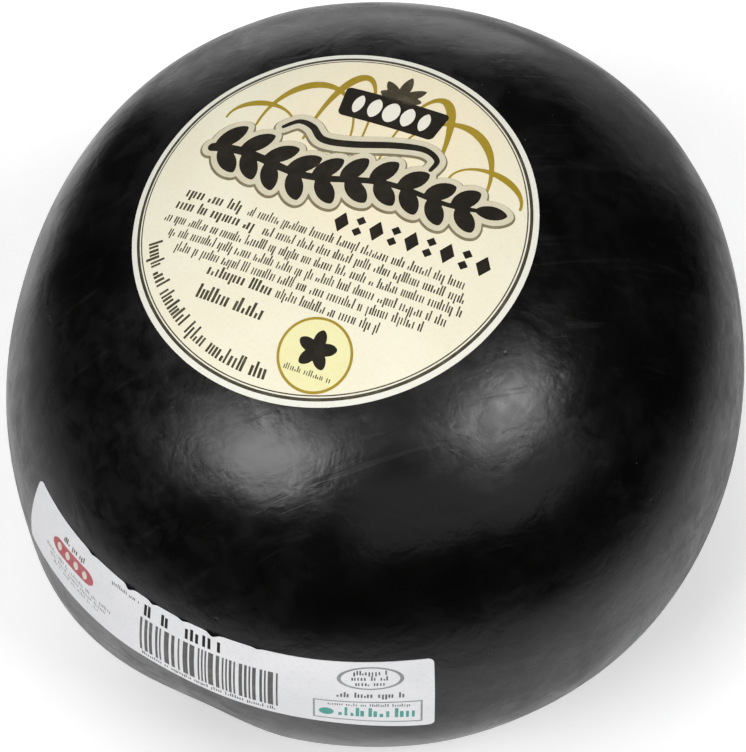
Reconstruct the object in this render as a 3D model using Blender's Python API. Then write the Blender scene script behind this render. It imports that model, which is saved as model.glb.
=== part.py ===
"""A small ball of semi-hard cheese in a black wax coat, with a round paper label on its crown and a
paper strip label on its side.

The frame is in metres with +Z up. The ball stands upright on the flat foot that it got while it ripened,
and the origin is the middle of that foot. The front, where the strip label starts, faces -Y.
"""

import math

import bmesh
import bpy
from mathutils import Vector

# The ball's form: a superellipse turned about Z, with a slightly oval and slightly square plan.
EQUATOR_R = 0.0598
CROWN_RISE = 0.837 * EQUATOR_R
BELLY_DROP = 0.784 * EQUATOR_R
PROFILE_POWER = 2.365
HALF_BLEND = 3.0
FOOT_CUT = 0.0013
EQUATOR_Z = BELLY_DROP - FOOT_CUT

# Each plan wave is (lobes, share of the radius, azimuth of its first lobe in degrees).
PLAN_WAVES = (
    (2, 0.0166, 49.5),
    (3, 0.0062, -30.7),
    (4, 0.0110, 20.7),
)

# Each lump is (azimuth and latitude in degrees, angular width in degrees, height). A dent's is negative.
LUMPS = (
    (-135.7, -14.9, 10.1, -0.0012),
    (-147.9, 1.9, 22.3, -0.0012),
    (-164.0, -12.3, 15.8, 0.0019),
    (-96.9, -8.2, 11.8, 0.0008),
    (-93.7, 17.2, 12.8, -0.0006),
    (62.0, -28.0, 20.0, 0.0007),
    (-28.0, -38.0, 16.0, -0.0006),
)

# The labels are paper. The clearance keeps their solids apart from the ball's.
PAPER_THICKNESS = 0.0002
LABEL_CLEARANCE = 0.0003
ROUND_LABEL_R = 0.514 * EQUATOR_R
STRIP_LENGTH = 0.0740
STRIP_WIDTH = 0.0183
STRIP_CORNER_R = 0.0010
STRIP_AZIMUTH = -129.8
STRIP_MID_RISE = 0.0102
STRIP_TILT = -8.4

# How finely each surface is divided.
BALL_CUTS = 19
DISC_RINGS = 7
DISC_SPOKES = 48
STRIP_COLUMNS = 26
STRIP_ROWS = 5
CORNER_STEPS = 3


def plan_radius(azimuth):
    """The equator's radius at this azimuth."""
    waves = sum(
        share * math.cos(lobes * (azimuth - math.radians(first)))
        for lobes, share, first in PLAN_WAVES
    )
    return EQUATOR_R * (1 + waves)


def half_height(sine):
    """The crown's rise above the equator, easing into the belly's drop below it."""
    middle = (CROWN_RISE + BELLY_DROP) / 2
    half_gap = (CROWN_RISE - BELLY_DROP) / 2
    return middle + half_gap * math.tanh(HALF_BLEND * sine)


def unit(azimuth, latitude):
    flat = math.cos(latitude)
    return Vector(
        (flat * math.cos(azimuth), flat * math.sin(azimuth), math.sin(latitude))
    )


def lump_height(direction):
    total = 0.0
    for azimuth, latitude, width, height in LUMPS:
        centre = unit(math.radians(azimuth), math.radians(latitude))
        away = direction.angle(centre) / math.radians(width)
        total += height * math.exp(-away * away)
    return total


def on_surface(direction):
    """The point of the ball's surface that lies this way from the middle of its equator."""
    direction = direction.normalized()
    flat = math.hypot(direction.x, direction.y)
    across = flat / plan_radius(math.atan2(direction.y, direction.x))
    along = abs(direction.z) / half_height(direction.z)
    reach = (across**PROFILE_POWER + along**PROFILE_POWER) ** (-1 / PROFILE_POWER)
    point = direction * (reach + lump_height(direction))
    return point + Vector((0, 0, EQUATOR_Z))


def normal_at(direction):
    """The outward normal there, from the surface a small step to either side."""
    direction = direction.normalized()
    aside = direction.orthogonal().normalized()
    other = direction.cross(aside)
    step = 1e-3
    run = on_surface(direction + aside * step) - on_surface(direction - aside * step)
    rise = on_surface(direction + other * step) - on_surface(direction - other * step)
    return run.cross(rise).normalized()


def lifted(direction, height):
    return on_surface(direction) + normal_at(direction) * height


def crown_direction(x, y):
    """The way from the equator's middle to the crown's surface above (x, y)."""
    share = math.hypot(x, y) / plan_radius(math.atan2(y, x))
    rise = CROWN_RISE * (1 - share**PROFILE_POWER) ** (1 / PROFILE_POWER)
    return Vector((x, y, rise))


def side_direction(azimuth, rise):
    """The way to the side's surface at this azimuth, this far above the equator."""
    drop = abs(rise) / half_height(rise / EQUATOR_R)
    flat = plan_radius(azimuth) * (1 - drop**PROFILE_POWER) ** (1 / PROFILE_POWER)
    return Vector((flat * math.cos(azimuth), flat * math.sin(azimuth), rise))


def clear_scene():
    for old in list(bpy.data.objects):
        bpy.data.objects.remove(old, do_unlink=True)


def material(name, colour, roughness):
    made = bpy.data.materials.new(name)
    made.use_nodes = True
    shader = made.node_tree.nodes["Principled BSDF"]
    shader.inputs["Base Color"].default_value = (*colour, 1)
    shader.inputs["Roughness"].default_value = roughness
    shader.inputs["Metallic"].default_value = 0.0
    return made


def add_object(name, bm, finish):
    bmesh.ops.recalc_face_normals(bm, faces=bm.faces)
    mesh = bpy.data.meshes.new(name)
    bm.to_mesh(mesh)
    bm.free()
    mesh.shade_smooth()
    mesh.set_sharp_from_angle(angle=math.radians(35))
    mesh.materials.append(finish)
    made = bpy.data.objects.new(name, mesh)
    bpy.context.scene.collection.objects.link(made)
    return made


def even_angles(value):
    """Spreads a cube face's grid so that its cells take equal angles once they are on a ball."""
    return math.tan(value * math.pi / 4)


def waxed_ball(finish):
    """The cheese in its wax coat: a cube's grid blown up onto the ball's surface, cut flat at the foot."""
    bm = bmesh.new()
    bmesh.ops.create_cube(bm, size=2)
    bmesh.ops.subdivide_edges(bm, edges=bm.edges, cuts=BALL_CUTS, use_grid_fill=True)
    for vert in bm.verts:
        vert.co = on_surface(Vector(even_angles(value) for value in vert.co))
    cut = bmesh.ops.bisect_plane(
        bm,
        geom=[*bm.verts, *bm.edges, *bm.faces],
        dist=1e-6,
        plane_co=(0, 0, 0),
        plane_no=(0, 0, 1),
        clear_inner=True,
    )
    rim = [item for item in cut["geom_cut"] if isinstance(item, bmesh.types.BMEdge)]
    bmesh.ops.edgeloop_fill(bm, edges=rim)
    return add_object("waxed_cheese_ball", bm, finish)


def paper_on_ball(name, bm, finish):
    """A sheet that already lies clear of the ball, given the paper's thickness outwards."""
    made = add_object(name, bm, finish)
    paper = made.modifiers.new("paper", "SOLIDIFY")
    paper.thickness = PAPER_THICKNESS
    paper.offset = 1.0
    return made


def round_label(finish):
    """The round label, laid over the crown."""
    bm = bmesh.new()
    hub = bm.verts.new(lifted(Vector((0, 0, 1)), LABEL_CLEARANCE))
    rings = []
    for ring in range(1, DISC_RINGS + 1):
        radius = ROUND_LABEL_R * ring / DISC_RINGS
        turns = [2 * math.pi * spoke / DISC_SPOKES for spoke in range(DISC_SPOKES)]
        rings.append(
            [
                bm.verts.new(
                    lifted(
                        crown_direction(radius * math.cos(turn), radius * math.sin(turn)),
                        LABEL_CLEARANCE,
                    )
                )
                for turn in turns
            ]
        )
    for spoke in range(DISC_SPOKES):
        after = (spoke + 1) % DISC_SPOKES
        bm.faces.new((hub, rings[0][spoke], rings[0][after]))
        for inner, outer in zip(rings, rings[1:]):
            bm.faces.new((inner[spoke], outer[spoke], outer[after], inner[after]))
    return paper_on_ball("round_label", bm, finish)


def strip_stations():
    """Where the strip's columns stand along it, closer together in the rounded corners."""
    corner = [
        STRIP_CORNER_R * (1 - math.cos(math.pi / 2 * step / CORNER_STEPS))
        for step in range(CORNER_STEPS)
    ]
    half = STRIP_LENGTH / 2
    first = -half + STRIP_CORNER_R
    middle = [
        first + (STRIP_LENGTH - 2 * STRIP_CORNER_R) * column / STRIP_COLUMNS
        for column in range(STRIP_COLUMNS + 1)
    ]
    return [-half + d for d in corner] + middle + [half - d for d in reversed(corner)]


def strip_half_width(along):
    """Half the strip's width there, less in its rounded corners."""
    into_corner = STRIP_CORNER_R - (STRIP_LENGTH / 2 - abs(along))
    if into_corner <= 0:
        return STRIP_WIDTH / 2
    rounded = math.sqrt(max(STRIP_CORNER_R**2 - into_corner**2, 0))
    return STRIP_WIDTH / 2 - STRIP_CORNER_R + rounded


def strip_direction(along, across):
    """The way to a point of the strip, which runs round the side with a slight tilt."""
    tilt = math.radians(STRIP_TILT)
    run = along * math.cos(tilt) - across * math.sin(tilt)
    rise = along * math.sin(tilt) + across * math.cos(tilt)
    return side_direction(
        math.radians(STRIP_AZIMUTH) + run / EQUATOR_R, STRIP_MID_RISE + rise
    )


def strip_label(finish):
    """The strip label, wrapped round the side a little above the equator."""
    bm = bmesh.new()
    columns = []
    for along in strip_stations():
        half = strip_half_width(along)
        columns.append(
            [
                bm.verts.new(
                    lifted(
                        strip_direction(along, half * (2 * row / STRIP_ROWS - 1)),
                        LABEL_CLEARANCE,
                    )
                )
                for row in range(STRIP_ROWS + 1)
            ]
        )
    for left, right in zip(columns, columns[1:]):
        for row in range(STRIP_ROWS):
            bm.faces.new((left[row], right[row], right[row + 1], left[row + 1]))
    return paper_on_ball("strip_label", bm, finish)


def main():
    clear_scene()
    waxed_ball(material("black_wax", (0.012, 0.012, 0.012), 0.32))
    round_label(material("cream_paper", (0.86, 0.82, 0.66), 0.55))
    strip_label(material("white_paper", (0.82, 0.83, 0.84), 0.5))


main()
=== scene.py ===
"""The looks of the waxed ball of cheese: the wax coat, the two paper labels with their print, a pale floor,
soft light and the camera.

Everything is in metres in the CAD frame, unless a name or a comment says mm. Points of the print are in mm on
the flat label, x to the right and y up, from the label's middle.
"""

import math

import bmesh
import bpy
import numpy as np
from mathutils import Matrix, Vector

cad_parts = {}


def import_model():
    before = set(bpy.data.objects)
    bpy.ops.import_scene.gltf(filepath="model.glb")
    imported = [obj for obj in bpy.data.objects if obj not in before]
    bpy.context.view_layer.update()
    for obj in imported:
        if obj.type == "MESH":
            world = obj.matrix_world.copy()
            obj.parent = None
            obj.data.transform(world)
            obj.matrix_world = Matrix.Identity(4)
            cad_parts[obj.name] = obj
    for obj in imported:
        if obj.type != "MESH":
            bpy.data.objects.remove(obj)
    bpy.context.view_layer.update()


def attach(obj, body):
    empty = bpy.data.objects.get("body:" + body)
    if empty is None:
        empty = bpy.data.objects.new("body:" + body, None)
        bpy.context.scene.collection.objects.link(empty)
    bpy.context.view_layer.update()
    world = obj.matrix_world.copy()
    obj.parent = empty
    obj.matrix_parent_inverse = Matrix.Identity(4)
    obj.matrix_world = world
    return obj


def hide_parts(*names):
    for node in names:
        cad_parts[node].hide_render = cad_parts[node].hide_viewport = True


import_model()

# The ball's form, as in the CAD: a superellipse turned about Z, with an oval and slightly square plan.
EQUATOR_R = 0.0598
CROWN_RISE = 0.837 * EQUATOR_R
BELLY_DROP = 0.784 * EQUATOR_R
PROFILE_POWER = 2.365
HALF_BLEND = 3.0
FOOT_CUT = 0.0013
EQUATOR_Z = BELLY_DROP - FOOT_CUT

# Each plan wave is (lobes, share of the radius, azimuth of its first lobe in degrees).
PLAN_WAVES = ((2, 0.0166, 49.5), (3, 0.0062, -30.7), (4, 0.0110, 20.7))

# Each lump is (azimuth and latitude in degrees, angular width in degrees, height). A dent's is negative.
LUMPS = (
    (-135.7, -14.9, 10.1, -0.0012),
    (-147.9, 1.9, 22.3, -0.0012),
    (-164.0, -12.3, 15.8, 0.0019),
    (-96.9, -8.2, 11.8, 0.0008),
    (-93.7, 17.2, 12.8, -0.0006),
    (62.0, -28.0, 20.0, 0.0007),
    (-28.0, -38.0, 16.0, -0.0006),
)

# The labels, as in the CAD.
ROUND_LABEL_R = 0.514 * EQUATOR_R
STRIP_LENGTH = 0.0740
STRIP_WIDTH = 0.0183
STRIP_CORNER_R = 0.0010
STRIP_AZIMUTH = -129.8
STRIP_MID_RISE = 0.0102
STRIP_TILT = -8.4

# The wax's own unevenness: how many soft swellings it has, how wide they are in degrees and how high.
SWELLINGS = 90
SWELLING_WIDTH = (3.0, 9.0)
SWELLING_HEIGHT = 0.00011
SWELLING_SEED = 850

# How softly the belly turns into the foot, and how finely each face of the cube behind the ball is cut.
FOOT_ROUNDING = 0.0003
BALL_CUTS = 119

# The paper lies on the wax, and each layer of ink stands a little higher than the one under it.
PAPER_UNDERSIDE = 0.00003
PAPER_TOP = 0.00016
INK_SINK = 0.00001
INK_STEP = 0.000012

# The print on the round label stands turned this far about the crown.
PRINT_TURN = math.radians(-37.0)

# The camera: how far it is from the ball's middle, how high it looks from and how far it is rolled.
CAMERA_DISTANCE = 9.0 * EQUATOR_R
CAMERA_ELEVATION = math.radians(59.75)
CAMERA_ROLL = math.radians(16.07)
CAMERA_LENS = 159.9
CAMERA_SHIFT = (-0.0046, -0.0029)

MM = 0.001

# The angular step, in radians, to either side of a point when its normal is taken.
NORMAL_STEP = 2e-3

# How close to a corner of its grid a smooth outline may run, as a share of a cell.
CUT_MARGIN = 0.06

# A distance, in mm, that counts as well outside every stroke of the print.
FAR_OUTSIDE = 9.0

# The grid's cell, in mm, for most of the print and for its finer marks.
CELL = 0.14
FINE_CELL = 0.12


# ---------------------------------------------------------------- the ball's surface


def unit_vectors(azimuth, latitude):
    """The ways that point to these azimuths and latitudes, in radians."""
    flat = np.cos(latitude)
    return np.stack([flat * np.cos(azimuth), flat * np.sin(azimuth), np.sin(latitude)], -1)


def swellings():
    """Centres, widths and heights of the wax's soft swellings, as lumps of the same kind as the CAD's."""
    draw = np.random.default_rng(SWELLING_SEED)
    centre = draw.normal(size=(SWELLINGS, 3))
    centre /= np.linalg.norm(centre, axis=1)[:, None]
    width = np.radians(draw.uniform(*SWELLING_WIDTH, SWELLINGS))
    return centre, width, draw.normal(0, SWELLING_HEIGHT, SWELLINGS)


def all_lumps():
    """Centres, widths and heights of the CAD's lumps and of the wax's swellings."""
    azimuth, latitude, width, height = np.array(LUMPS).T
    centre, soft_width, soft_height = swellings()
    return (
        np.concatenate([unit_vectors(np.radians(azimuth), np.radians(latitude)), centre]),
        np.concatenate([np.radians(width), soft_width]),
        np.concatenate([height, soft_height]),
    )


LUMP_CENTRES, LUMP_WIDTHS, LUMP_HEIGHTS = all_lumps()


def plan_radius(azimuth):
    """The equator's radius at these azimuths."""
    waves = sum(
        share * np.cos(lobes * (azimuth - math.radians(first)))
        for lobes, share, first in PLAN_WAVES
    )
    return EQUATOR_R * (1 + waves)


def half_height(sine):
    """The crown's rise above the equator, easing into the belly's drop below it."""
    middle = (CROWN_RISE + BELLY_DROP) / 2
    half_gap = (CROWN_RISE - BELLY_DROP) / 2
    return middle + half_gap * np.tanh(HALF_BLEND * sine)


def on_surface(direction):
    """The points of the wax that lie these ways from the middle of the ball's equator."""
    direction = direction / np.linalg.norm(direction, axis=-1, keepdims=True)
    azimuth = np.arctan2(direction[:, 1], direction[:, 0])
    across = np.hypot(direction[:, 0], direction[:, 1]) / plan_radius(azimuth)
    along = np.abs(direction[:, 2]) / half_height(direction[:, 2])
    reach = (across**PROFILE_POWER + along**PROFILE_POWER) ** (-1 / PROFILE_POWER)
    for centre, width, height in zip(LUMP_CENTRES, LUMP_WIDTHS, LUMP_HEIGHTS):
        away = np.arccos(np.clip(direction @ centre, -1, 1)) / width
        reach = reach + height * np.exp(-away * away)
    return direction * reach[:, None] + np.array([0, 0, EQUATOR_Z])


def normals_at(direction):
    """The outward normals there, from the surface a small step to either side."""
    direction = direction / np.linalg.norm(direction, axis=-1, keepdims=True)
    aside = np.cross(direction, np.array([0.36, -0.48, 0.8]))
    aside /= np.linalg.norm(aside, axis=1)[:, None]
    other = np.cross(direction, aside)
    run = on_surface(direction + aside * NORMAL_STEP) - on_surface(direction - aside * NORMAL_STEP)
    rise = on_surface(direction + other * NORMAL_STEP) - on_surface(direction - other * NORMAL_STEP)
    normal = np.cross(run, rise)
    return normal / np.linalg.norm(normal, axis=1)[:, None]


def on_crown(flat_mm):
    """The ways to the crown's points above these points of the round label's print, in mm."""
    turn, lean = math.cos(PRINT_TURN), math.sin(PRINT_TURN)
    x = (turn * flat_mm[:, 0] - lean * flat_mm[:, 1]) * MM
    y = (lean * flat_mm[:, 0] + turn * flat_mm[:, 1]) * MM
    share = np.hypot(x, y) / plan_radius(np.arctan2(y, x))
    rise = CROWN_RISE * (1 - share**PROFILE_POWER) ** (1 / PROFILE_POWER)
    return np.stack([x, y, rise], -1)


def on_strip(flat_mm):
    """The ways to the side's points under these points of the strip label, in mm along it and across it."""
    tilt = math.radians(STRIP_TILT)
    along, across = flat_mm[:, 0] * MM, flat_mm[:, 1] * MM
    run = along * math.cos(tilt) - across * math.sin(tilt)
    rise = STRIP_MID_RISE + along * math.sin(tilt) + across * math.cos(tilt)
    azimuth = math.radians(STRIP_AZIMUTH) + run / EQUATOR_R
    drop = np.abs(rise) / half_height(rise / EQUATOR_R)
    flat = plan_radius(azimuth) * (1 - drop**PROFILE_POWER) ** (1 / PROFILE_POWER)
    return np.stack([flat * np.cos(azimuth), flat * np.sin(azimuth), rise], -1)


# Where the strip's upper edge stands off the wax in small puckers: (place, half width, height), in mm.
PUCKERS = (
    (-21.5, 0.9, 0.16),
    (-13.2, 0.8, 0.42),
    (-8.6, 0.7, 0.24),
    (-3.1, 0.8, 0.2),
    (2.2, 1.0, 0.46),
    (9.5, 0.9, 0.14),
)

# The height on the strip where a pucker starts, and how far above that it is full, in mm.
PUCKER_START = 6.4
PUCKER_RUN = 2.7


def pucker_height(flat_mm):
    """How far the strip stands off the wax at these points of it."""
    near_edge = np.clip((flat_mm[:, 1] - PUCKER_START) / PUCKER_RUN, 0, 1) ** 2
    ridges = sum(
        rise * np.exp(-(((flat_mm[:, 0] - place) / width) ** 2))
        for place, width, rise in PUCKERS
    )
    return near_edge * ridges * MM


# ---------------------------------------------------------------- meshes

# Faces that meet at more than this many degrees have a sharp edge between them.
SHARP_ANGLE = 40.0


def add_piece(name, vertices, faces, material, slot):
    """A visible piece, whose sheet edges stay sharp."""
    mesh = bpy.data.meshes.new(name)
    mesh.from_pydata([tuple(v) for v in vertices], [], faces)
    mesh.shade_smooth()
    mesh.set_sharp_from_angle(angle=math.radians(SHARP_ANGLE))
    mesh.materials.append(material)
    piece = bpy.data.objects.new(name, mesh)
    bpy.context.scene.collection.objects.link(piece)
    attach(piece, "root")
    return piece


def boundary_edges(faces):
    """The directed edges that only one face uses."""
    edges = {(a, b) for face in faces for a, b in zip(face, face[1:] + face[:1])}
    return [edge for edge in sorted(edges) if (edge[1], edge[0]) not in edges]


def closed_slab(top, bottom, faces):
    """A closed body from a sheet's upper and lower points and the faces of its upper side."""
    count = len(top)
    under = [[count + index for index in reversed(face)] for face in faces]
    walls = [[b, a, count + a, count + b] for a, b in boundary_edges(faces)]
    return np.concatenate([top, bottom]), faces + under + walls


def lay(name, flat, faces, place, low, high, material, slot, stand_off=None):
    """A thin sheet on the wax: flat holds its points in mm, and place turns them into ways to the surface."""
    flat = np.asarray(flat, float)
    ways = place(flat)
    surface, normal = on_surface(ways), normals_at(ways)
    lift = np.zeros(len(flat)) if stand_off is None else stand_off(flat)
    top = surface + normal * (high + lift)[:, None]
    bottom = surface + normal * (low + lift)[:, None]
    return add_piece(name, *closed_slab(top, bottom, faces), material, slot)


def print_on(label, name, flat, faces, layer, material):
    """One layer of ink on the round label or the strip."""
    place, slot, stand_off = {
        "round": (on_crown, "cream_paper", None),
        "strip": (on_strip, "white_paper", pucker_height),
    }[label]
    high = PAPER_TOP + INK_STEP * (layer + 1)
    return lay(f"{label}_{name}", flat, faces, place, PAPER_TOP - INK_SINK, high, material, slot, stand_off)


def cut_out(field, xs, ys):
    """The points and faces of the part of a grid where field is below 0, with its outline cut smoothly."""
    inside = field < 0
    points, faces, known = [], [], {}

    def corner(at):
        if at not in known:
            known[at] = len(points)
            points.append((xs[at[1]], ys[at[0]]))
        return known[at]

    def crossing(one, other):
        key = (min(one, other), max(one, other))
        if key not in known:
            first, last = key
            share = field[first] / (field[first] - field[last])
            share = min(max(share, CUT_MARGIN), 1 - CUT_MARGIN)
            known[key] = len(points)
            points.append(
                (
                    xs[first[1]] + share * (xs[last[1]] - xs[first[1]]),
                    ys[first[0]] + share * (ys[last[0]] - ys[first[0]]),
                )
            )
        return known[key]

    touched = inside[:-1, :-1] | inside[1:, :-1] | inside[:-1, 1:] | inside[1:, 1:]
    for row, column in np.argwhere(touched).tolist():
        ring = ((row, column), (row, column + 1), (row + 1, column + 1), (row + 1, column))
        face = []
        for one, other in zip(ring, ring[1:] + ring[:1]):
            if inside[one]:
                face.append(corner(one))
            if inside[one] != inside[other]:
                face.append(crossing(one, other))
        faces.append(face)
    return points, faces


def grid(low, high, cell):
    """The grid lines of a box in mm, and a field on it that is far outside of everything."""
    xs = np.arange(low[0], high[0] + cell, cell)
    ys = np.arange(low[1], high[1] + cell, cell)
    return xs, ys, np.full((len(ys), len(xs)), FAR_OUTSIDE)


def lines_near(marks, one, other, margin):
    """The first and the last of the grid lines that are within margin of these two places."""
    return np.searchsorted(marks, [min(one, other) - margin, max(one, other) + margin])


def stroke_field(low, high, cell, strokes, reach=1.6):
    """The distance from a set of strokes, below 0 inside them. A stroke is (points, half widths), in mm."""
    xs, ys, field = grid(low, high, cell)
    for points, halves in strokes:
        for start, end, half, next_half in zip(points, points[1:], halves, halves[1:]):
            margin = max(half, next_half) + reach
            left, right = lines_near(xs, start[0], end[0], margin)
            under, over = lines_near(ys, start[1], end[1], margin)
            gx, gy = np.meshgrid(xs[left:right], ys[under:over])
            run, rise = end[0] - start[0], end[1] - start[1]
            share = ((gx - start[0]) * run + (gy - start[1]) * rise) / max(run * run + rise * rise, 1e-9)
            share = np.clip(share, 0, 1)
            away = np.hypot(gx - start[0] - share * run, gy - start[1] - share * rise)
            part = field[under:over, left:right]
            np.minimum(part, away - (half + share * (next_half - half)), out=part)
    return xs, ys, field


def box_distance(past_side, past_end):
    """The distance from a box, below 0 inside it, from how far each point is past its sides and its ends."""
    outside = np.hypot(np.maximum(past_side, 0), np.maximum(past_end, 0))
    return outside + np.minimum(np.maximum(past_side, past_end), 0)


def bars(lines, longest=0.6):
    """The points and faces of straight bars in short pieces. Each is ((x, y), (x, y), width), in mm."""
    points, faces = [], []
    for start, end, width in lines:
        start, end = np.array(start, float), np.array(end, float)
        length = np.linalg.norm(end - start)
        side = np.array([start[1] - end[1], end[0] - start[0]]) / length * width / 2
        steps = max(1, math.ceil(length / longest))
        first = len(points)
        for step in range(steps + 1):
            middle = start + (end - start) * step / steps
            points += [tuple(middle - side), tuple(middle + side)]
        for step in range(steps):
            a = first + 2 * step
            faces.append([a, a + 2, a + 3, a + 1])
    return points, faces


def smooth_path(points, steps=14):
    """A Catmull-Rom curve through these points."""
    points = np.array([points[0], *points, points[-1]], float)
    path = []
    for p0, p1, p2, p3 in zip(points, points[1:], points[2:], points[3:]):
        slope = p2 - p0
        bend = 2 * p0 - 5 * p1 + 4 * p2 - p3
        twist = 3 * p1 - p0 - 3 * p2 + p3
        for t in np.arange(steps) / steps:
            path.append(0.5 * (2 * p1 + slope * t + bend * t**2 + twist * t**3))
    return [tuple(p) for p in path] + [tuple(points[-1])]


def swell(count, thin, thick):
    """Half widths along a stroke that is thin at its ends and thick in the middle."""
    return [thin + (thick - thin) * math.sin(math.pi * k / (count - 1)) for k in range(count)]


# ---------------------------------------------------------------- materials

# Where a Mix node keeps the sockets for colours.
MIX_A = 6
MIX_B = 7
MIX_RESULT = 2


def linear(red, green, blue):
    """A colour given as 0 to 255 screen values."""
    shares = [value / 255 for value in (red, green, blue)]
    return tuple(s / 12.92 if s <= 0.04045 else ((s + 0.055) / 1.055) ** 2.4 for s in shares)


class Nodes:
    """A material's node tree, with short ways to add what the materials here share."""

    def __init__(self, name):
        self.material = bpy.data.materials.new(name)
        self.material.use_nodes = True
        self.tree = self.material.node_tree
        self.shader = self.tree.nodes["Principled BSDF"]
        self.place = self.add("ShaderNodeTexCoord").outputs["Object"]

    def add(self, kind, **settings):
        """A new node with these settings."""
        node = self.tree.nodes.new(kind)
        for key, value in settings.items():
            setattr(node, key, value)
        return node

    def link(self, output, target):
        """Links an output to a socket."""
        self.tree.links.new(output, target)

    def feed(self, target, value):
        """Links an output to the socket, or sets the socket to a plain value."""
        if isinstance(value, bpy.types.NodeSocket):
            self.link(value, target)
        else:
            target.default_value = value

    def stretched(self, scale, turn=(0, 0, 0)):
        """The piece's own coordinates, scaled and turned."""
        node = self.add("ShaderNodeMapping")
        node.inputs["Scale"].default_value = scale
        node.inputs["Rotation"].default_value = turn
        self.link(self.place, node.inputs["Vector"])
        return node.outputs["Vector"]

    def noise(self, scale, detail=2.0, roughness=0.5, distortion=0.0, vector=None):
        """Cloudy noise with this many features to a metre, about 0.5 on average."""
        node = self.add("ShaderNodeTexNoise")
        self.link(vector or self.place, node.inputs["Vector"])
        node.inputs["Scale"].default_value = scale
        node.inputs["Detail"].default_value = detail
        node.inputs["Roughness"].default_value = roughness
        node.inputs["Distortion"].default_value = distortion
        return node.outputs["Fac"]

    def cells(self, scale):
        """The distance from the nearest of many scattered points."""
        node = self.add("ShaderNodeTexVoronoi", feature="F1")
        self.link(self.place, node.inputs["Vector"])
        node.inputs["Scale"].default_value = scale
        return node.outputs["Distance"]

    def span(self, value, low, high, to_low=0.0, to_high=1.0):
        """value from low to high, spread smoothly from to_low to to_high."""
        node = self.add("ShaderNodeMapRange", interpolation_type="SMOOTHSTEP")
        self.link(value, node.inputs["Value"])
        node.inputs["From Min"].default_value = low
        node.inputs["From Max"].default_value = high
        node.inputs["To Min"].default_value = to_low
        node.inputs["To Max"].default_value = to_high
        return node.outputs["Result"]

    def maths(self, operation, one, other=0.0):
        """The sum, product and so on of two values."""
        node = self.add("ShaderNodeMath", operation=operation)
        self.feed(node.inputs[0], one)
        self.feed(node.inputs[1], other)
        return node.outputs["Value"]

    def mix(self, share, *colours):
        """The first colour, going over to the second as share goes from 0 to 1."""
        node = self.add("ShaderNodeMix", data_type="RGBA")
        self.feed(node.inputs["Factor"], share)
        for socket, colour in zip((MIX_A, MIX_B), colours):
            plain = not isinstance(colour, bpy.types.NodeSocket)
            self.feed(node.inputs[socket], (*colour, 1) if plain else colour)
        return node.outputs[MIX_RESULT]

    def bump(self, height, distance, strength=1.0, under=None):
        """A normal that follows this height, laid over another bump's normal if one is given."""
        node = self.add("ShaderNodeBump")
        self.link(height, node.inputs["Height"])
        node.inputs["Distance"].default_value = distance
        node.inputs["Strength"].default_value = strength
        if under is not None:
            self.link(under, node.inputs["Normal"])
        return node.outputs["Normal"]

    def finish(self, colour, roughness, normal=None, **constants):
        """Feeds the shader and gives the material. The constants are set on the shader's own sockets."""
        self.feed(self.shader.inputs["Base Color"], colour)
        self.feed(self.shader.inputs["Roughness"], roughness)
        if normal is not None:
            self.link(normal, self.shader.inputs["Normal"])
        for key, value in constants.items():
            self.shader.inputs[key.replace("_", " ")].default_value = value
        return self.material


def wax_material():
    """Black cheese wax: satin, with dull patches, fine wrinkles, streaks, a few pits and pale specks."""
    n = Nodes("black_cheese_wax")
    clouds = n.span(n.noise(34, 3, 0.5, 0.6), 0.36, 0.68)
    mottle = n.noise(130, 3, 0.5, 0.5)
    crackle = n.noise(360, 3, 0.55, 0.4)
    grain = n.noise(1500, 3, 0.6)
    streaks = n.noise(46, 4, 0.6, 0.5, n.stretched((0.8, 5.0, 1.6), (0.5, 0.3, 0.9)))
    scuffs = n.span(streaks, 0.56, 0.70)
    long_way = n.stretched((0.5, 9.0, 1.0), (0.2, 0.9, -0.5))
    scratches = n.span(n.noise(90, 2, 0.5, 0.15, long_way), 0.66, 0.72)
    rare = n.span(n.noise(40, 2), 0.55, 0.62)
    pits = n.maths("MULTIPLY", n.span(n.cells(230), 0.09, 0.02), rare)
    specks = n.maths("MULTIPLY", n.span(n.cells(310), 0.05, 0.02), n.span(n.noise(30, 2), 0.50, 0.60))
    dull = n.maths("MULTIPLY", clouds, n.span(crackle, 0.34, 0.64, 0.3, 1.0))
    roughness = n.maths("ADD", n.span(mottle, 0.3, 0.7, 0.20, 0.28), n.maths("MULTIPLY", dull, 0.13))
    roughness = n.maths("ADD", roughness, n.maths("MULTIPLY", scuffs, 0.05))
    roughness = n.maths("ADD", roughness, n.maths("MULTIPLY", scratches, 0.06))
    colour = n.mix(dull, (0.0009, 0.0010, 0.0007), (0.0024, 0.0025, 0.0023))
    colour = n.mix(n.maths("MULTIPLY", scuffs, 0.35), colour, (0.009, 0.009, 0.010))
    colour = n.mix(n.maths("MULTIPLY", specks, 0.6), colour, (0.10, 0.10, 0.10))
    normal = n.bump(mottle, 0.00030, 0.5)
    normal = n.bump(crackle, 0.00009, 0.5, normal)
    normal = n.bump(streaks, 0.00006, 0.4, normal)
    normal = n.bump(grain, 0.00002, 0.5, normal)
    normal = n.bump(scratches, -0.000012, 0.5, normal)
    normal = n.bump(pits, -0.00006, 0.6, normal)
    return n.finish(colour, roughness, normal, IOR=1.45)


def paper_grain(n, distance=0.00002):
    """A paper's fibres over its slight waviness."""
    waviness = n.bump(n.noise(240, 2, 0.5), 0.00006, 0.35)
    return n.bump(n.noise(2600, 3, 0.6), distance, 0.6, waviness)


def distance_in_plan(n, x, y):
    """The distance in plan, in metres, from a point of the frame."""
    node = n.add("ShaderNodeVectorMath", operation="DISTANCE")
    flat = n.stretched((1, 1, 0))
    n.link(flat, node.inputs[0])
    node.inputs[1].default_value = (x, y, 0)
    return node.outputs["Value"]


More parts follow.
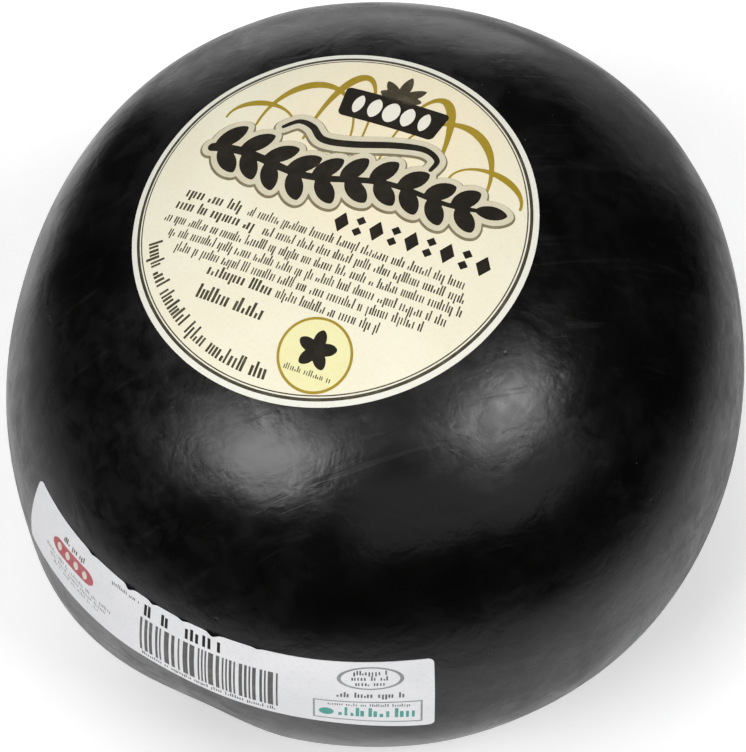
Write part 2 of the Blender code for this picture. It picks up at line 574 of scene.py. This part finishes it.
# The warm glow behind the arches: its middle in the print, and where it is full and gone, all in mm.
GLOW_MIDDLE = (3, 15)
GLOW_REACH = (8, 26)

# The printed cream stops between these radii, in mm, and the paper's plain edge begins.
CREAM_EDGE = (29.3, 29.4)


def round_paper_material():
    """Coated label paper, printed cream inside its thin dark ring, with a warm glow behind the arches."""
    n = Nodes("cream_label_paper")
    from_middle = distance_in_plan(n, 0, 0)
    turn, lean = math.cos(PRINT_TURN), math.sin(PRINT_TURN)
    x, y = GLOW_MIDDLE
    glow_x, glow_y = (turn * x - lean * y) * MM, (lean * x + turn * y) * MM
    full, gone = GLOW_REACH
    glow = n.span(distance_in_plan(n, glow_x, glow_y), gone * MM, full * MM, 0.0, 0.75)
    colour = n.mix(glow, linear(236, 231, 208), linear(241, 226, 192))
    colour = n.mix(n.span(n.noise(60, 2), 0.35, 0.65, 0.0, 0.35), colour, linear(227, 219, 190))
    edge = n.span(from_middle, CREAM_EDGE[0] * MM, CREAM_EDGE[1] * MM)
    colour = n.mix(edge, colour, linear(229, 228, 216))
    colour = n.mix(n.span(n.noise(1800, 4), 0.45, 0.75, 0.0, 0.14), colour, linear(200, 194, 170))
    roughness = n.span(n.noise(700, 3), 0.3, 0.7, 0.50, 0.62)
    return n.finish(colour, roughness, paper_grain(n), Specular_IOR_Level=0.35)


def strip_paper_material():
    """Plain white sticker paper."""
    n = Nodes("white_sticker_paper")
    shade = n.span(n.noise(90, 3), 0.35, 0.65, 0.0, 0.6)
    colour = n.mix(shade, linear(246, 246, 248), linear(236, 237, 240))
    fibres = n.span(n.noise(1600, 4), 0.5, 0.75, 0.0, 0.2)
    colour = n.mix(fibres, colour, linear(196, 198, 202))
    roughness = n.span(n.noise(600, 3), 0.3, 0.7, 0.46, 0.58)
    return n.finish(colour, roughness, paper_grain(n, 0.00003), Specular_IOR_Level=0.35)


def ink_material(name, colour, worn):
    """Ink on paper: its colour thins a little in places, down to the worn colour."""
    n = Nodes(name)
    patches = n.span(n.noise(420, 4, 0.65), 0.42, 0.72, 0.0, 0.55)
    shade = n.mix(patches, linear(*colour), linear(*worn))
    shade = n.mix(n.span(n.noise(3000, 3), 0.55, 0.75, 0.0, 0.35), shade, linear(*worn))
    roughness = n.span(n.noise(900, 2), 0.3, 0.7, 0.52, 0.64)
    return n.finish(shade, roughness, paper_grain(n), Specular_IOR_Level=0.2)


def make_inks():
    """Every ink of the print, each with its full and its worn colour."""
    return {
        "black": ink_material("black_ink", (24, 18, 8), (44, 37, 25)),
        "brown": ink_material("brown_ink", (62, 56, 40), (104, 98, 80)),
        "grey": ink_material("grey_ink", (92, 92, 90), (136, 136, 134)),
        "pale_grey": ink_material("pale_grey_ink", (150, 152, 154), (186, 187, 188)),
        "beige": ink_material("beige_ink", (208, 200, 174), (218, 211, 188)),
        "olive": ink_material("olive_ink", (122, 112, 84), (150, 142, 114)),
        "gold": ink_material("gold_ink", (158, 134, 32), (170, 148, 58)),
        "white": ink_material("white_ink", (232, 228, 214), (220, 215, 198)),
        "lemon": ink_material("lemon_ink", (232, 227, 174), (227, 219, 162)),
        "red": ink_material("red_ink", (190, 92, 100), (214, 150, 152)),
        "teal": ink_material("teal_ink", (80, 164, 154), (126, 190, 182)),
    }


# ---------------------------------------------------------------- the wax coat


def even_angles(value):
    """Spreads a cube face's grid so that its cells take equal angles once they are on the ball."""
    return np.tan(value * np.pi / 4)


def wax_body():
    """The wax coat: a cube's grid blown up onto the ball's surface, pressed softly flat at the foot."""
    bm = bmesh.new()
    bmesh.ops.create_cube(bm, size=2)
    bmesh.ops.subdivide_edges(bm, edges=bm.edges, cuts=BALL_CUTS, use_grid_fill=True)
    mesh = bpy.data.meshes.new("wax_body")
    bm.to_mesh(mesh)
    bm.free()
    points = np.empty(len(mesh.vertices) * 3, np.float32)
    mesh.vertices.foreach_get("co", points)
    points = on_surface(even_angles(points.reshape(-1, 3).astype(float)))
    height = points[:, 2]
    points[:, 2] = (height + np.sqrt(height**2 + FOOT_ROUNDING**2)) / 2
    mesh.vertices.foreach_set("co", points.astype(np.float32).ravel())
    mesh.shade_smooth()
    mesh.materials.append(wax_material())
    piece = bpy.data.objects.new("wax_body", mesh)
    bpy.context.scene.collection.objects.link(piece)
    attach(piece, "root")
    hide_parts("waxed_cheese_ball")
    return piece


# ---------------------------------------------------------------- generic print


def along_path(points):
    """A path's length, and a function from the distance along it to the place and the heading there."""
    points = np.array(points, float)
    steps = np.diff(points, axis=0)
    lengths = np.hypot(*steps.T)
    ends = np.concatenate([[0], np.cumsum(lengths)])

    def at(distance):
        leg = min(int(np.searchsorted(ends, distance, "right")) - 1, len(steps) - 1)
        ahead = steps[leg] / lengths[leg]
        return points[leg] + ahead * (distance - ends[leg]), ahead

    return ends[-1], at


def tick_line(draw, path, x_height, weight):
    """Upright ticks in groups along a path, which stand for a line of small print and spell nothing."""
    length, place_at = along_path(path)
    lines = []
    at = 0.0
    left = int(draw.integers(3, 11))
    pitch = weight * 1.45 + 0.1
    while at < length:
        if left == 0:
            left = int(draw.integers(2, 11))
            at += pitch * 1.2
            continue
        left -= 1
        below, above = 0.0, x_height
        kind = draw.random()
        if kind < 0.22:
            above = x_height * 1.5
        elif kind < 0.30:
            below = -x_height * 0.42
        elif kind < 0.40:
            above = x_height * 0.55
        middle, ahead = place_at(at)
        up = np.array([-ahead[1], ahead[0]])
        lines.append((middle + up * below, middle + up * above, weight * draw.uniform(0.85, 1.15)))
        at += pitch * draw.uniform(0.85, 1.2)
    return lines


def rim_path(radius, first, last, steps=60):
    """An arc about the label's middle, from one angle to another in degrees."""
    angles = np.radians(np.linspace(first, last, steps + 1))
    return [(radius * math.cos(angle), radius * math.sin(angle)) for angle in angles]


def leaf(root, angle, length, width, steps=12):
    """A pointed leaf as a stroke that swells in the middle."""
    along = np.array([math.cos(math.radians(angle)), math.sin(math.radians(angle))])
    points = [tuple(np.array(root) + along * length * k / steps) for k in range(steps + 1)]
    bulge = [width / 2 * math.sin(math.pi * k / steps) ** 0.8 for k in range(steps + 1)]
    return points, [max(half, LEAF_TIP) for half in bulge]


# Half the width of a leaf's tip, in mm.
LEAF_TIP = 0.04

# The laurel branch: its ends, the spacing of its leaves in mm and how far they stand off the stem in degrees.
BRANCH_ENDS = (-22.4, 20.6)
LEAF_PITCH = 4.3
LEAF_LEAN = 46
STEM_STEPS = 160

# The points that the tendril over the branch runs through.
TENDRIL = (
    (-13.0, 12.0),
    (-11.0, 13.6),
    (-8.6, 13.2),
    (-6.0, 11.4),
    (-1.5, 11.9),
    (5.0, 13.9),
    (9.2, 14.7),
    (11.6, 13.6),
    (11.4, 11.6),
)

# How far the beige band and the olive outline stand out round the branch, in mm.
BAND_REACH = 0.92
OUTLINE_REACH = 1.18


def branch_height(across):
    """How high the stem is at this place along it: a long bend with slight waves."""
    return 5.6 + 0.075 * across + 0.0034 * across * across + 0.8 * math.sin(math.pi * across / 12)


def branch_strokes():
    """A stem with a pair of leaves every few mm, all pointing the way it grows, and one leaf at its tip."""
    first, last = BRANCH_ENDS
    places = [first + (last - first) * k / STEM_STEPS for k in range(STEM_STEPS + 1)]
    stem = [(across, branch_height(across)) for across in places]
    strokes = [(stem, [0.75 - 0.4 * k / STEM_STEPS for k in range(STEM_STEPS + 1)])]
    pairs = int((last - first - 1) / LEAF_PITCH)
    for k in range(pairs + 1):
        across = first + 0.4 + LEAF_PITCH * k
        heading = math.degrees(math.atan2(branch_height(across + 0.5) - branch_height(across - 0.5), 1))
        length = 5.9 - 0.12 * k
        strokes.append(leaf((across, branch_height(across)), heading + LEAF_LEAN, length, 2.9))
        across += 0.9
        strokes.append(leaf((across, branch_height(across)), heading - LEAF_LEAN - 4, length - 0.3, 2.8))
    strokes.append(leaf((last - 0.5, branch_height(last - 0.5)), 14, 4.6, 2.4))
    return strokes


def branch_and_tendril():
    """The strokes of the branch and of the tendril that lies over it."""
    tendril = smooth_path(TENDRIL)
    return branch_strokes() + [(tendril, swell(len(tendril), 0.3, 0.62))]


def print_branch(inks):
    """The branch and its tendril in black, on a beige band with an olive outline slightly below it."""
    xs, ys, field = stroke_field((-27, -2), (28, 17.5), CELL, branch_and_tendril(), reach=2.2)
    outline = cut_out(field - OUTLINE_REACH, xs + 0.05, ys - 0.22)
    print_on("round", "branch_outline", *outline, 1, inks["olive"])
    print_on("round", "branch_band", *cut_out(field - BAND_REACH, xs, ys), 2, inks["beige"])
    print_on("round", "branch", *cut_out(field, xs, ys), 3, inks["black"])


# One half of the plain fan of arches behind the branch. Each arch is half an ellipse: how far out its middle
# is from the fan's, half its span, the heights of its feet and its top, and half its greatest thickness.
FAN_MIDDLE = 1.5
FAN_TILT = math.radians(-1.3)
FAN_ARCHES = (
    (6.3, 4.3, 10.5, 24.9, 0.72),
    (11.3, 7.6, 11.0, 21.4, 0.70),
    (18.6, 5.7, 11.4, 15.4, 0.55),
)

# Half an arch's width at its ends, in mm, and where along it, and over how much of it, it is pressed hardest.
ARCH_TIP = 0.17
ARCH_PRESS = 0.38
ARCH_PRESS_RUN = 0.22


def arch_stroke(side, middle, half_span, foot, top, thick, count=60):
    """One arch from its outer foot to its inner one, pressed hardest a little before its top."""
    points, halves = [], []
    for k in range(count + 1):
        turn = math.pi * k / count
        out = side * (middle + half_span * math.cos(turn))
        points.append((FAN_MIDDLE + out, foot + (top - foot) * math.sin(turn) + math.sin(FAN_TILT) * out))
        pressed = math.exp(-(((k / count - ARCH_PRESS) / ARCH_PRESS_RUN) ** 2))
        halves.append(ARCH_TIP + (thick - ARCH_TIP) * pressed)
    return points, halves


def print_arches(inks):
    """Pairs of gold arches that overlap in a fan behind the branch."""
    strokes = [arch_stroke(side, *arch) for arch in FAN_ARCHES for side in (-1, 1)]
    xs, ys, field = stroke_field((-26, 6), (29, 27), CELL, strokes, reach=0.5)
    print_on("round", "gold_arches", *cut_out(field, xs, ys), 0, inks["gold"])


# The plaque: its middle, half its height, half its width at its foot and its corners' radius, in mm, and how
# much wider it grows upwards.
PLAQUE_MIDDLE = (1.6, 19.5)
PLAQUE_HALF_HEIGHT = 2.0
PLAQUE_HALF_WIDTH = 6.9
PLAQUE_CORNER = 0.8
PLAQUE_SPREAD = 0.14
PLAQUE_FOOT = 16.6

# The plaque's lozenges as (place, width) and the leaves over it as (angle in degrees, length).
PLAQUE_LOZENGES = ((-3.8, 1.7), (-1.1, 2.1), (1.6, 2.6), (4.3, 2.1), (7.0, 1.7))
PLAQUE_LEAVES = ((90, 5.0), (136, 4.4), (44, 4.4), (168, 3.4), (12, 3.4))


def print_plaque(inks):
    """A plain dark plaque with a row of white lozenges, under five leaves."""
    middle, height = PLAQUE_MIDDLE
    xs, ys, _ = grid((-8.5, 15.5), (11.5, 23.5), CELL)
    gx, gy = np.meshgrid(xs, ys)
    past_side = np.abs(gx - middle) - (PLAQUE_HALF_WIDTH + PLAQUE_SPREAD * (gy - PLAQUE_FOOT))
    past_end = np.abs(gy - height) - PLAQUE_HALF_HEIGHT
    plaque = cut_out(box_distance(past_side, past_end) - PLAQUE_CORNER, xs, ys)
    print_on("round", "plaque", *plaque, 4, inks["black"])
    marks = [leaf((place, 17.7), 90, 3.6, width) for place, width in PLAQUE_LOZENGES]
    xs, ys, field = stroke_field((-6, 17), (9, 22), FINE_CELL, marks, reach=0.4)
    print_on("round", "plaque_lozenges", *cut_out(field, xs, ys), 5, inks["white"])
    leaves = [leaf((middle, 22.4), angle, length, 1.7) for angle, length in PLAQUE_LEAVES]
    xs, ys, field = stroke_field((-4, 21.4), (7.5, 28.4), FINE_CELL, leaves, reach=0.4)
    print_on("round", "leaves", *cut_out(field, xs, ys), 4, inks["brown"])


# The rings near the label's edge: (name, radius, half width), in mm.
RINGS = (("ring", 29.66, 0.23), ("inner_ring", 29.12, 0.09))


def print_rings(inks):
    """The thin dark rings round the label."""
    for name, radius, half in RINGS:
        points, faces = ring_strip(radius, half)
        print_on("round", name, points, faces, 0, inks["brown"])


def ring_strip(radius, half, steps=320):
    """The points and faces of a thin flat ring."""
    points, faces = [], []
    for k in range(steps):
        angle = 2 * math.pi * k / steps
        out = (math.cos(angle), math.sin(angle))
        points += [((radius + d) * out[0], (radius + d) * out[1]) for d in (-half, half)]
    for k in range(steps):
        a, b = 2 * k, 2 * ((k + 1) % steps)
        faces.append([a, a + 1, b + 1, b])
    return points, faces


# Small print on the round label: (points along the line, height of a low tick, thickness), all in mm.
BODY_LINES = (
    (((-11.6, -4.4), (0, -5.1), (11, -5.4), (23.6, -5.1)), 1.1, 0.22),
    (((-8.0, -6.9), (2, -7.4), (13, -7.5), (24.2, -7.2)), 1.1, 0.22),
    (((-24.4, -7.8), (-12, -9.0), (0, -9.5), (12, -9.7), (24.6, -9.3)), 1.1, 0.22),
    (((-22.6, -10.1), (-11, -11.1), (0, -11.7), (12, -11.8), (23.0, -11.6)), 1.1, 0.22),
    (((-20.4, -12.4), (-10, -13.3), (0, -13.8), (10, -14.0), (20.9, -13.6)), 1.1, 0.22),
    (((-2.0, -15.9), (6, -16.2), (14.2, -16.2)), 1.1, 0.22),
)
BOLD_LINES = (
    (((-22.6, -3.3), (-12.4, -4.3)), 1.2, 0.36),
    (((-23.4, -5.5), (-9.6, -6.8)), 1.2, 0.36),
    (((-13.6, -15.1), (-3.2, -15.9)), 1.2, 0.36),
    (((-13.8, -18.9), (-2.6, -19.9)), 1.5, 0.42),
)


def print_small_lines(inks):
    """The lines of small print: light ones, heavy ones and one that follows the rim."""
    draw = np.random.default_rng(27)
    lines = []
    for path, x_height, weight in BODY_LINES:
        lines += tick_line(draw, path, x_height, weight)
    print_on("round", "small_print", *bars(lines), 0, inks["brown"])
    lines = tick_line(draw, rim_path(27.9, 206, 272), 1.5, 0.40)
    for path, x_height, weight in BOLD_LINES:
        lines += tick_line(draw, path, x_height, weight)
    print_on("round", "bold_print", *bars(lines), 0, inks["brown"])


def print_diamonds(inks):
    """A row of large diamonds and stacked small ones, where a line of large capitals would stand."""
    xs, ys, field = grid((0.5, -4), (27, 2.6), FINE_CELL)
    gx, gy = np.meshgrid(xs, ys)
    for k in range(9):
        x, y = 2.6 + 2.75 * k, -1.35 + 0.12 * k
        row = [(y + 0.95, 0.8, 0.8), (y - 0.95, 0.8, 0.8)] if k % 2 else [(y, 1.75, 1.15)]
        for middle, tall, wide in row:
            diamond = (np.abs(gx - x) / wide + np.abs(gy - middle) / tall - 1) * wide
            field = np.minimum(field, diamond)
    print_on("round", "diamond_row", *cut_out(field, xs, ys), 1, inks["black"])


# The seal's middle and its radius, in mm.
SEAL_MIDDLE = (6.9, -22.2)
SEAL_R = 5.5


def print_seal(inks):
    """A small round seal: lemon field, gold ring, a dark five-petalled flower and a short line of ticks."""
    centre = np.array(SEAL_MIDDLE)
    xs, ys, _ = grid(centre - 6, centre + 6, 0.3)
    from_centre = np.hypot(*np.meshgrid(xs - centre[0], ys - centre[1]))
    print_on("round", "seal_field", *cut_out(from_centre - SEAL_R, xs, ys), 0, inks["lemon"])
    points, faces = ring_strip(SEAL_R - 0.05, 0.2, 120)
    print_on("round", "seal_ring", np.array(points) + centre, faces, 1, inks["gold"])
    petals = [leaf(centre + (0, 0.7), 90 + 72 * k, 3.0, 1.9) for k in range(5)]
    xs, ys, field = stroke_field(centre - 5, centre + 5, FINE_CELL, petals, reach=0.4)
    print_on("round", "seal_flower", *cut_out(field, xs, ys), 1, inks["black"])
    draw = np.random.default_rng(5)
    line = tick_line(draw, (centre + (-3.7, -3.2), centre + (3.6, -3.2)), 0.6, 0.16)
    print_on("round", "seal_print", *bars(line), 1, inks["brown"])


def round_label(inks):
    """The round paper label with all its print."""
    xs, ys, _ = grid((-31.5, -31.5), (31.5, 31.5), 0.5)
    from_middle = np.hypot(*np.meshgrid(xs, ys))
    sheet = cut_out(from_middle - ROUND_LABEL_R / MM, xs, ys)
    material = round_paper_material()
    paper = lay("round_paper", *sheet, on_crown, PAPER_UNDERSIDE, PAPER_TOP, material, "cream_paper")
    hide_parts("round_label")
    print_rings(inks)
    print_arches(inks)
    print_branch(inks)
    print_plaque(inks)
    print_diamonds(inks)
    print_small_lines(inks)
    print_seal(inks)


# ---------------------------------------------------------------- the strip label


# How deep and how wide each nick is, as shares of its pucker's height and width.
NICK_DEPTH = 0.9
NICK_WIDTH = 0.55


def strip_field(xs, ys):
    """The distance from the strip's outline: a rounded rectangle, nicked where its upper edge puckers."""
    gx, gy = np.meshgrid(xs, ys)
    corner = STRIP_CORNER_R / MM
    past_side = np.abs(gx) - (STRIP_LENGTH / 2 / MM - corner)
    past_end = np.abs(gy) - (STRIP_WIDTH / 2 / MM - corner)
    field = box_distance(past_side, past_end) - corner
    nicks = sum(
        rise * NICK_DEPTH * np.exp(-(((gx - place) / (width * NICK_WIDTH)) ** 2))
        for place, width, rise in PUCKERS
    )
    return field + np.where(gy > 0, nicks, 0)


def strip_bars(inks):
    """A generic bar pattern: seeded widths, with no code behind it."""
    draw = np.random.default_rng(1317)
    lines = []
    at = -10.4
    while at < 13.0:
        width = float(draw.choice([0.28, 0.28, 0.42, 0.56, 0.84]))
        lines.append(((at + width / 2, -6.3), (at + width / 2, 4.3), width))
        at += width + float(draw.choice([0.3, 0.3, 0.45, 0.6]))
    print_on("strip", "bars", *bars(lines), 0, inks["grey"])
    ticks = tick_line(draw, ((-10.0, -8.0), (12.6, -8.0)), 0.8, 0.18)
    print_on("strip", "bar_ticks", *bars(ticks), 0, inks["grey"])


def strip_blocks(inks):
    """Heavy marks where a stamped date would stand, and the fine line before them."""
    draw = np.random.default_rng(7)
    lines = []
    for x in (-9.6, -8.9, -6.4, -5.7, -2.1, -1.2, -0.3, 0.9, 1.8, 3.4):
        lines.append(((x, 5.2), (x - 0.1, 5.2 + draw.uniform(2.3, 2.9)), 0.5))
    print_on("strip", "stamped_marks", *bars(lines), 0, inks["black"])
    ticks = tick_line(draw, ((-16.4, 7.0), (-10.8, 7.0)), 0.6, 0.16)
    print_on("strip", "fine_line", *bars(ticks), 0, inks["grey"])


def strip_emblem(inks):
    """A generic red mark with pale lozenges, some dark ticks over it and faint lines under it."""
    draw = np.random.default_rng(11)
    pill = ([(-28.2, 2.5), (-22.0, 2.7)], (1.9, 1.9))
    xs, ys, field = stroke_field((-32, -1), (-18, 7), 0.16, [pill])
    print_on("strip", "red_mark", *cut_out(field, xs, ys), 0, inks["red"])
    marks = [leaf((x, 1.5), 90, 2.2, 1.1) for x in (-28.4, -26.3, -24.2, -22.1)]
    xs, ys, field = stroke_field((-30, 0.5), (-20, 4.6), FINE_CELL, marks, reach=0.4)
    print_on("strip", "red_mark_lozenges", *cut_out(field, xs, ys), 1, inks["white"])
    ticks = tick_line(draw, ((-27.6, 5.3), (-22.4, 5.3)), 0.9, 0.22)
    print_on("strip", "emblem_ticks", *bars(ticks), 0, inks["brown"])
    lines = []
    for row in range(3):
        start = (-31.5 + row, -1.4 - 1.5 * row)
        end = (-16.2 - row, -1.9 - 1.5 * row)
        lines += tick_line(draw, (start, end), 0.7, 0.16)
    print_on("strip", "address_ticks", *bars(lines), 0, inks["pale_grey"])


def strip_oval(inks):
    """A thin oval with three short lines of ticks in it, and one line under it."""
    centre = np.array([27.2, 5.2])
    xs, ys, _ = grid(centre - (6, 3.6), centre + (6, 3.6), CELL)
    gx, gy = np.meshgrid(xs, ys)
    field = (np.hypot((gx - centre[0]) / 4.85, (gy - centre[1]) / 2.75) - 1) * 2.9
    print_on("strip", "oval", *cut_out(np.abs(field) - 0.18, xs, ys), 0, inks["pale_grey"])
    draw = np.random.default_rng(3)
    lines = []
    for half, up in ((2.5, 0.95), (2.8, -0.45), (2.2, -1.85)):
        lines += tick_line(draw, (centre + (-half, up), centre + (half, up)), 0.72, 0.24)
    lines += tick_line(draw, ((22.2, 0.0), (32.2, -0.1)), 1.0, 0.28)
    print_on("strip", "oval_ticks", *bars(lines), 0, inks["grey"])


def strip_panel(inks):
    """A thin pale frame round a teal dot and groups of heavy teal ticks."""
    left, right, under, over = 18.6, 35.0, -7.5, -1.4
    line = 0.3
    frame_lines = [
        ((left, under), (right, under), line),
        ((left, over), (right, over), line),
        ((left, under - line / 2), (left, over + line / 2), line),
        ((right, under - line / 2), (right, over + line / 2), line),
    ]
    print_on("strip", "panel_frame", *bars(frame_lines), 0, inks["pale_grey"])
    draw = np.random.default_rng(19)
    ticks = tick_line(draw, ((20.8, -2.7), (33.6, -2.8)), 0.55, 0.16)
    print_on("strip", "panel_ticks", *bars(ticks), 0, inks["grey"])
    lines = []
    for first, last in ((22.6, 26.0), (27.2, 30.0), (31.2, 34.0)):
        lines += tick_line(draw, ((first, -6.1), (last, -6.1)), 1.9, 0.5)
    print_on("strip", "panel_marks", *bars(lines), 0, inks["teal"])
    xs, ys, _ = grid((18.6, -7), (22.6, -3), CELL)
    dot = np.hypot(*np.meshgrid(xs - 20.5, ys + 5.05)) - 1.15
    print_on("strip", "panel_dot", *cut_out(dot, xs, ys), 0, inks["teal"])


def strip_label(inks):
    """The paper strip label with all its print."""
    xs, ys, _ = grid((-37.6, -9.6), (37.6, 9.6), 0.25)
    sheet = cut_out(strip_field(xs, ys), xs, ys)
    material = strip_paper_material()
    paper = lay(
        "strip_paper", *sheet, on_strip, PAPER_UNDERSIDE, PAPER_TOP, material, "white_paper", pucker_height
    )
    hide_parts("strip_label")
    strip_bars(inks)
    strip_blocks(inks)
    strip_emblem(inks)
    strip_oval(inks)
    strip_panel(inks)


# ---------------------------------------------------------------- the studio


def direction_to(azimuth, elevation):
    """The way that points to this azimuth and elevation, in degrees."""
    azimuth, elevation = math.radians(azimuth), math.radians(elevation)
    flat = math.cos(elevation)
    return Vector((flat * math.cos(azimuth), flat * math.sin(azimuth), math.sin(elevation)))


def soft_light(name, azimuth, elevation, distance, size, radiance):
    """A rectangular light that faces the ball, as strong as radiance and its area make it."""
    light = bpy.data.lights.new(name, "AREA")
    light.shape = "RECTANGLE"
    light.size, light.size_y = size
    light.energy = radiance * size[0] * size[1] * 4
    lamp = bpy.data.objects.new(name, light)
    back = direction_to(azimuth, elevation)
    lamp.location = Vector((0, 0, EQUATOR_Z)) + back * distance
    lamp.rotation_euler = back.to_track_quat("Z", "Y").to_euler()
    lamp.visible_camera = False
    bpy.context.scene.collection.objects.link(lamp)
    return lamp


# Each light is (name, azimuth and elevation in degrees, distance, (width, height), radiance).
LIGHTS = (
    ("key_light", -43, 49, 1.0, (0.41, 0.34), 7.8),
    ("fill_light", -146, 54, 1.0, (0.46, 0.38), 5.7),
    ("ceiling", -90, 84, 1.0, (1.10, 1.10), 0.32),
    ("back_light", 95, 55, 1.0, (1.00, 0.70), 1.3),
    ("middle_glow", -90, 34, 1.0, (0.55, 0.60), 0.42),
    ("low_glow", -56, 22, 1.0, (0.56, 0.40), 0.5),
    ("back_card", 83, -5, 0.5, (0.42, 0.26), 0.88),
    ("right_card", 44, -10, 0.5, (0.28, 0.24), 0.34),
    ("left_card", 160, -11, 0.5, (0.36, 0.16), 0.32),
)


def lights():
    """The studio's soft lights. The last one lights the strip label and leaves no highlight on the wax."""
    for light in LIGHTS:
        soft_light(*light)
    front = soft_light("front_fill", -125, 3, 1.0, (0.80, 0.46), 1.65)
    front.visible_glossy = False


# How much of the room's light reaches the ball, which is dark and very slightly cool.
ROOM_LIGHT = (0.014, 0.014, 0.015)


def world():
    """The room: dark round the ball, and pale where the camera looks straight at it."""
    room = bpy.data.worlds.new("room")
    room.use_nodes = True
    nodes, links = room.node_tree.nodes, room.node_tree.links
    nodes["Background"].inputs["Color"].default_value = (*ROOM_LIGHT, 1)
    pale = nodes.new("ShaderNodeBackground")
    pale.inputs["Color"].default_value = (1, 1, 1, 1)
    path = nodes.new("ShaderNodeLightPath")
    mix = nodes.new("ShaderNodeMixShader")
    links.new(path.outputs["Is Camera Ray"], mix.inputs["Fac"])
    links.new(nodes["Background"].outputs["Background"], mix.inputs[1])
    links.new(pale.outputs["Background"], mix.inputs[2])
    links.new(mix.outputs["Shader"], nodes["World Output"].inputs["Surface"])
    bpy.context.scene.world = room


# The floor's middle, the radii where it starts to fade out and is gone, and how much it lights up to the
# camera alone, so that it stays as pale as the room behind it.
FLOOR_MIDDLE = (-0.055, 0.025)
FLOOR_FADE = (0.11, 0.24)
FLOOR_LIFT = 0.30


def floor():
    """A pale round floor that fades out softly all round."""
    bm = bmesh.new()
    bmesh.ops.create_circle(bm, cap_ends=True, segments=96, radius=FLOOR_FADE[1] + 0.02)
    bmesh.ops.translate(bm, verts=bm.verts, vec=(*FLOOR_MIDDLE, 0))
    mesh = bpy.data.meshes.new("floor")
    bm.to_mesh(mesh)
    bm.free()
    n = Nodes("pale_floor")
    shade = n.mix(n.noise(300, 4), (0.90, 0.90, 0.90), (0.94, 0.94, 0.94))
    n.link(shade, n.shader.inputs["Emission Color"])
    lift = n.maths("MULTIPLY", n.add("ShaderNodeLightPath").outputs["Is Camera Ray"], FLOOR_LIFT)
    n.link(lift, n.shader.inputs["Emission Strength"])
    material = n.finish(shade, n.span(n.noise(500, 3), 0.3, 0.7, 0.6, 0.75))
    fade = n.span(distance_in_plan(n, *FLOOR_MIDDLE), *FLOOR_FADE, 1.0, 0.0)
    n.link(fade, n.shader.inputs["Alpha"])
    mesh.materials.append(material)
    plate = bpy.data.objects.new("floor", mesh)
    bpy.context.scene.collection.objects.link(plate)


def camera():
    """The camera at the photo's angle, aimed at the middle of the ball's equator."""
    data = bpy.data.cameras.new("camera")
    data.sensor_width = 36
    data.lens = CAMERA_LENS
    data.shift_x, data.shift_y = CAMERA_SHIFT
    data.clip_start, data.clip_end = 0.01, 20
    eye = bpy.data.objects.new("camera", data)
    back = Vector((0, -math.cos(CAMERA_ELEVATION), math.sin(CAMERA_ELEVATION)))
    up = Vector((0, math.sin(CAMERA_ELEVATION), math.cos(CAMERA_ELEVATION)))
    right = Vector((1, 0, 0))
    turn, lean = math.cos(CAMERA_ROLL), math.sin(CAMERA_ROLL)
    axes = Matrix((right * turn - up * lean, right * lean + up * turn, back)).transposed()
    middle = Vector((0, 0, EQUATOR_Z))
    eye.matrix_world = Matrix.Translation(middle + back * CAMERA_DISTANCE) @ axes.to_4x4()
    bpy.context.scene.collection.objects.link(eye)
    bpy.context.scene.camera = eye


def main():
    """The whole scene, in the order: camera, room, lights, floor, ball, labels."""
    bpy.context.scene.view_settings.view_transform = "Standard"
    inks = make_inks()
    camera()
    world()
    lights()
    floor()
    wax_body()
    round_label(inks)
    strip_label(inks)


main()
